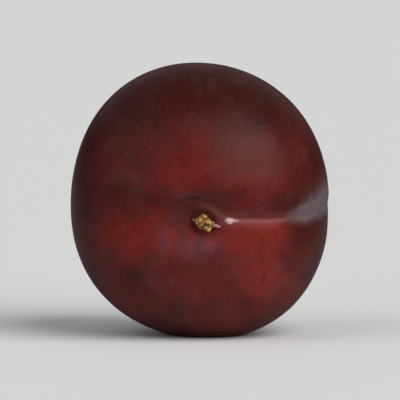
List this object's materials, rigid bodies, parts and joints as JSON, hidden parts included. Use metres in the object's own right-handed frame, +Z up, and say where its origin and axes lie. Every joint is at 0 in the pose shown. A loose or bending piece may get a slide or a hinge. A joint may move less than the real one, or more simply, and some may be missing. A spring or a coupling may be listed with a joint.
{
  "type": "plum",
  "caption": "Round dark red dessert plum at rest on one cheek, with a shallow suture, a funnel-shaped stem cavity and a short stub of stem.",
  "frame": {"origin": "centre of the fruit's bounding box at the level of the surface that it rests on", "axes": "+Z up from the surface, through the two cheeks; -Y towards the stem end, which also looks a little down and towards +X; +X towards the suture"},
  "size_m": [0.0503, 0.0474, 0.053],
  "materials": {
    "skin": "thin smooth dark red skin, satin, with a dull waxy bloom in places",
    "stem": "dry torn woody fibres"
  },
  "bodies": {
    "root": {"fruit": "skin", "stem_stub": "stem"}
  },
  "joints": []
}
